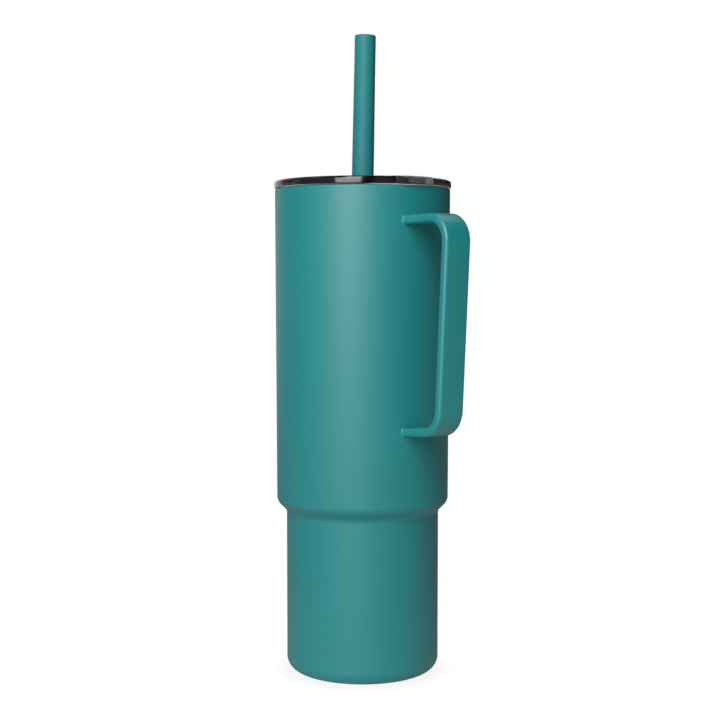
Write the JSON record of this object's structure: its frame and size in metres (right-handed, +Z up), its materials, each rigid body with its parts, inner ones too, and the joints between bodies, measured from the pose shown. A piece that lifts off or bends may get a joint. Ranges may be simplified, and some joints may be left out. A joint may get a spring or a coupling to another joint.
{
  "type": "insulated travel tumbler",
  "caption": "Tall stepped double-wall steel tumbler with a strap handle, a clear press-in lid and a leaning straw, made to keep drinks cold and stand in a cup holder.",
  "frame": {"origin": "centre of the flat resting ring under the foot, on the axis of the tumbler", "axes": "+Z up along the tumbler's axis, +X from the axis through the middle of the handle, +Y to the left of the handle seen from outside"},
  "size_m": [0.1244, 0.0916, 0.3292],
  "materials": {
    "powder_coat": "matte",
    "liner_steel": "satin",
    "base_steel": "satin",
    "foil": "polished",
    "seal_glass": "gloss",
    "getter": "matte",
    "spring_steel": "satin",
    "clear_plastic": "gloss",
    "clear_silicone": "satin",
    "teal_silicone": "matte"
  },
  "bodies": {
    "cup": {"outer_shell": "powder_coat", "inner_liner": "liner_steel", "radiation_foil": "foil", "outer_bottom": "base_steel", "vacuum_seal_bead": "seal_glass", "base_disc": "base_steel", "getter_pellet": "getter", "getter_clip": "spring_steel", "handle_outer_half": "powder_coat", "handle_inner_half": "powder_coat", "handle_welds": "powder_coat"},
    "lid": {"lid_shell": "clear_plastic", "lid_gasket": "clear_silicone", "straw_grommet": "clear_silicone"},
    "straw": {"straw": "teal_silicone"}
  },
  "joints": [
    {"name": "lid_lift", "type": "slide", "parent": "cup", "child": "lid", "axis": [0, 0, 1], "range_m": [0, 0.26]},
    {"name": "straw_slide", "type": "slide", "parent": "lid", "child": "straw", "axis": [0.0318, 0, 0.9995], "range_m": [0, 0.0175]}
  ]
}
